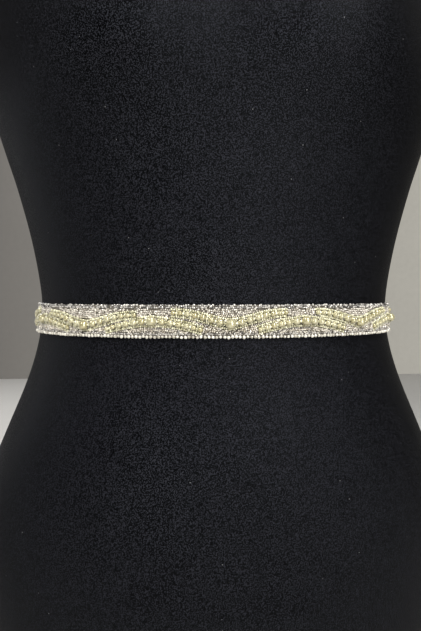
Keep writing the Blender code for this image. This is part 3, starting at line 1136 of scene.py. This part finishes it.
def finish_kept_nodes(board, wire):
    finishes = {"base_plate": board, "neck_cap": board}
    finishes.update({f"{w}_{p}": wire for w in ("upper", "lower") for p in ("hook", "eye")})
    for name, finish in finishes.items():
        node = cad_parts[name]
        node.data.materials.clear()
        node.data.materials.append(finish)


# The plain studio round the part.


def wall_finish():
    """A grey backdrop that glows by itself, with painted light that grows lighter towards the right."""
    made, tree = new_material(
        "glowing_grey_wall",
        Base_Color=(0.04, 0.04, 0.04, 1.0),
        Specular_IOR_Level=0.1,
        Roughness=0.9,
        Emission_Strength=1.0,
    )
    place = object_place(tree)
    across = add_node(tree, "ShaderNodeSeparateXYZ", Vector=place).outputs["X"]
    share = ramp(tree, across, 0.0, 1.0, *WALL_GLOW_SPAN)
    # Painted light: the wall's own glow runs from dim at the left to bright at the right.
    colour = mix_colour(tree, share, (0.140, 0.130, 0.117, 1.0), (0.392, 0.375, 0.330, 1.0))
    uneven = ramp(tree, grain_at(tree, place, 3.0, 60.0), 0.88, 1.12)
    return wired(made, Emission_Color=mix_colour(tree, 1.0, colour, uneven, "MULTIPLY"))


def floor_finish():
    made, tree = new_material("pale_floor", Specular_IOR_Level=0.3)
    grain = grain_at(tree, object_place(tree), 4.0, 200.0)
    return wired(
        made,
        Base_Color=mix_colour(tree, grain, (0.52, 0.51, 0.49, 1.0), (0.60, 0.59, 0.57, 1.0)),
        Roughness=ramp(tree, grain, 0.6, 0.8),
    )


def build_plane(name, corners, finish):
    mesh = bpy.data.meshes.new(name)
    mesh.from_pydata(corners, [], [(0, 1, 2, 3)])
    mesh.materials.append(finish)
    link(name, mesh)


def build_stage():
    far, side, back, top = STAGE
    build_plane(
        "floor", [(-side, -far, 0), (side, -far, 0), (side, back, 0), (-side, back, 0)], floor_finish()
    )
    build_plane(
        "wall", [(-side, back, 0), (side, back, 0), (side, back, top), (-side, back, top)], wall_finish()
    )


def softbox(name, place, target, size, power, colour=(1.0, 1.0, 1.0), in_gloss=True):
    """A lamp with a soft face; one that stays out of gloss lights the colours alone."""
    light = bpy.data.lights.new(name, "AREA")
    light.shape = "RECTANGLE"
    light.size, light.size_y = size
    light.energy = power
    light.color = colour
    made = bpy.data.objects.new(name, light)
    made.location = place
    way = Vector(target) - Vector(place)
    made.rotation_euler = way.to_track_quat("-Z", "Y").to_euler()
    made.visible_glossy = in_gloss
    bpy.context.scene.collection.objects.link(made)


def build_lights():
    waist = (0.0, AXIS_Y, WAIST_Z)
    hips = (0.0, AXIS_Y, HIP_Z)
    softbox("tall_right", (0.52, -1.18, 0.58), hips, (0.75, 1.00), 13.2, WARM_LIGHT)
    softbox("front_fill", (-0.42, -0.95, 1.00), waist, (0.3, 0.3), 17.0, WARM_LIGHT, False)
    softbox("back_fill", (-0.50, 1.10, 1.10), waist, (0.6, 0.6), 7.0)
    softbox("rim_left", (-1.20, 0.42, 0.38), waist, (0.40, 0.40), 1.9, COOL_LIGHT)
    softbox("ceiling_left", (-0.70, -0.42, 1.30), waist, (0.18, 0.18), 4.5)
    softbox("ceiling_right", (0.45, -0.50, 1.42), waist, (0.18, 0.18), 11.0)
    world = bpy.data.worlds.new("studio")
    world.use_nodes = True
    sky = world.node_tree.nodes["Background"].inputs
    sky["Color"].default_value = (0.85, 0.86, 0.88, 1.0)
    sky["Strength"].default_value = 0.06
    bpy.context.scene.world = world
    bpy.context.scene.view_settings.view_transform = "Standard"


def build_camera():
    lens = bpy.data.cameras.new("camera")
    lens.sensor_fit = "VERTICAL"
    lens.sensor_height = SENSOR
    lens.sensor_width = SENSOR
    lens.lens = FOCAL_PIXELS / PICTURE_HEIGHT * SENSOR
    lens.clip_start = 0.01
    camera = bpy.data.objects.new("camera", lens)
    away = (-math.sin(CAMERA_ROUND) * CAMERA_AWAY, -math.cos(CAMERA_ROUND) * CAMERA_AWAY)
    camera.location = (away[0], AXIS_Y + away[1], WAIST_Z + CAMERA_ABOVE)
    camera.rotation_euler = (math.pi / 2 - CAMERA_DOWN, 0.0, CAMERA_ASIDE - CAMERA_ROUND)
    bpy.context.scene.collection.objects.link(camera)
    bpy.context.scene.camera = camera


def main():
    build_camera()
    build_form(jersey_finish())
    cloth = build_cloth(cloth_finish())
    glass = {kind: bead_finish(*row) for kind, *row in GLASS}
    sheet_pieces = []
    build_pearls(pearl_finish(), sheet_pieces)
    build_beads(glass, sheet_pieces)
    finish_kept_nodes(board_finish(), wire_finish())
    build_stage()
    build_lights()


main()
